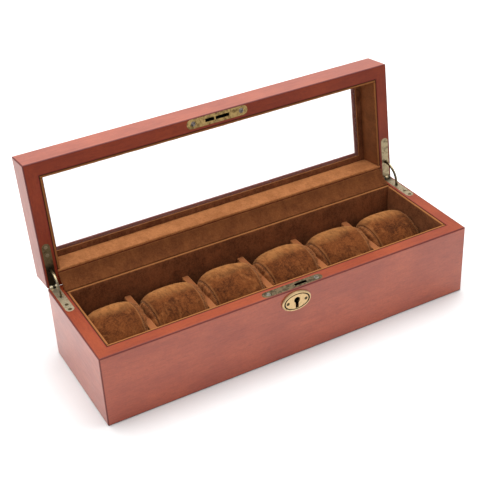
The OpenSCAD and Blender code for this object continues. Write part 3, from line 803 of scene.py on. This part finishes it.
def stitches(number, mesh, on_seam, material):
    """Short slanted threads that cross both seams of a pillow."""
    sides = STITCH_SIDES
    profile = ((-1, 0.3), (-0.8, 0.9), (0, 1.0), (0.8, 0.9), (1, 0.3))
    normals = [n.vector.copy() for n in mesh.vertex_normals]
    vertices, faces = [], []
    for here in on_seam:
        row = here // SEGMENTS * SEGMENTS
        there = row + (here - row + 1) % SEGMENTS
        out = normals[here]
        middle = mesh.vertices[here].co + out * 0.5 * MM
        ahead = (mesh.vertices[there].co - mesh.vertices[here].co).normalized()
        slant = (Vector((1, 0, 0)) + ahead * 0.45).normalized()
        across = out.cross(slant).normalized()
        first = len(vertices)
        for t, size in profile:
            core = middle + slant * STITCH_REACH * t - out * (0.4 * MM * t * t)
            for k in range(sides):
                a = 2 * math.pi * k / sides
                around = across * math.cos(a) + out * math.sin(a)
                vertices.append(core + around * STITCH_RADIUS * size)
        for s in range(len(profile) - 1):
            faces += ring_faces(first + s * sides, first + (s + 1) * sides, sides)
        last = first + (len(profile) - 1) * sides
        faces.append(tuple(range(first, first + sides)))
        faces.append(tuple(range(last, last + sides)))
    made = mesh_of(f"stitches_{number}", vertices, faces)
    add_piece(f"stitches_{number}", made, f"cushion_{number}", material)


# ---- scene ----

def soft_light(name, place, target, size, power):
    """A white area light (power in watts, size in metres) that faces its target."""
    light = bpy.data.lights.new(name, "AREA")
    light.shape = "RECTANGLE"
    light.size, light.size_y = size
    light.energy = power
    lamp = bpy.data.objects.new(name, light)
    bpy.context.scene.collection.objects.link(lamp)
    lamp.location = place
    lamp.rotation_euler = (Vector(target) - Vector(place)).to_track_quat("-Z", "Y").to_euler()


def studio():
    """White surroundings, a broad light overhead, and weaker ones at the left and behind."""
    world = bpy.data.worlds.new("studio")
    bpy.context.scene.world = world
    world.use_nodes = True
    background = world.node_tree.nodes["Background"]
    background.inputs["Color"].default_value = (1.0, 1.0, 1.0, 1.0)
    background.inputs["Strength"].default_value = 0.42
    soft_light("overhead", (0.1, 0.3, 1.4), (0, 0, 0), (2.0, 1.4), 34)
    soft_light("left", (-1.5, 0.1, 0.8), (0, 0, 0.03), (1.2, 1.2), 2.5)
    soft_light("backdrop", (0.8, 1.9, 0.9), (0, 0, 0.1), (3.0, 1.6), 6)

    mesh = mesh_of("floor", [(-6, -6, 0), (6, -6, 0), (6, 6, 0), (-6, 6, 0)], [(0, 1, 2, 3)])
    floor = bpy.data.objects.new("floor", mesh)
    bpy.context.scene.collection.objects.link(floor)
    f = Finish("floor_paper", Roughness=0.9, Specular_IOR_Level=0.1)
    grain = f.noise(f.coordinates(), 40, detail=2)
    mesh.materials.append(f.finish(Base_Color=f.mix(grain, rgb(250, 250, 250), rgb(246, 246, 246))))
    bpy.context.scene.view_settings.view_transform = "Standard"


# Where the camera stands, in metres, which way it looks, in degrees, and its lens, in millimetres
EYE = (-0.350971, -0.643234, 0.543682)
AZIMUTH, ELEVATION, ROLL = -26.311, 32.484, -3.629
SENSOR, LENS = 36, 81.1
SHIFT = (0.0322, 0.0105)


def camera():
    """Looks down on the box from its front left corner."""
    data = bpy.data.cameras.new("camera")
    data.sensor_width = SENSOR
    data.lens = LENS
    data.shift_x, data.shift_y = SHIFT
    data.clip_start, data.clip_end = 0.01, 50
    eye = bpy.data.objects.new("camera", data)
    bpy.context.scene.collection.objects.link(eye)
    azimuth, elevation, roll = [math.radians(a) for a in (AZIMUTH, ELEVATION, ROLL)]
    eye.rotation_mode = "QUATERNION"
    turn = Matrix.Rotation(azimuth, 3, "Z") @ Matrix.Rotation(math.pi / 2 - elevation, 3, "X")
    eye.rotation_quaternion = (turn @ Matrix.Rotation(roll, 3, "Z")).to_quaternion()
    eye.location = EYE
    bpy.context.scene.camera = eye


camera()
studio()
dress_wood()
dress_metal()
dress(["window_glass"], clear_glass("pane"))
dress(["bottom_panel"], plywood("panel_ply"))

deep, brown, warm = rgb(90, 50, 30), rgb(148, 92, 58), rgb(156, 94, 54)
wood_inside = between_walls()
base_boards(velvet("base_velvet", deep, brown, gold_rim=0.78, glued_to=wood_inside),
            velvet("divider_velvet", brown, warm, pale_edges=0.5))
lid_velvet = velvet("lid_velvet", rgb(98, 54, 28), rgb(144, 86, 48), in_lid=True, gold_rim=0.6,
                    glued_to=wood_inside)
# painted highlight: the lid's rear lining, facing up with the lid open, is a lighter, lit copy of the
# lid's velvet
lid_rear_lit_velvet = velvet("lid_rear_lit_velvet", rgb(152, 93, 53), rgb(196, 129, 80), in_lid=True)
lid_boards({FRONT: lid_velvet, RIGHT: lid_velvet, REAR: lid_rear_lit_velvet, LEFT: lid_velvet})
window_border(velvet("border_velvet", deep, brown, in_lid=True, pale_edges=0.7))
felt_sheet(felt("wool_felt"))
cloth_strip(velvet("strip_velvet", rgb(92, 49, 25), rgb(128, 75, 40)))
cushion_velvet = velvet("cushion_velvet", rgb(48, 21, 7), rgb(128, 71, 34), sheen=0.4, crest=0.75,
                        seams=True)
cushion_end = velvet("cushion_end_velvet", rgb(80, 40, 20), rgb(150, 92, 52), crush=0.45, sheen=0.5,
                     crest=0.5, seams=True)
sewing = thread("sewing_thread")
for number in range(1, PILLOWS + 1):
    pillow(number, cushion_velvet, cushion_end, sewing)
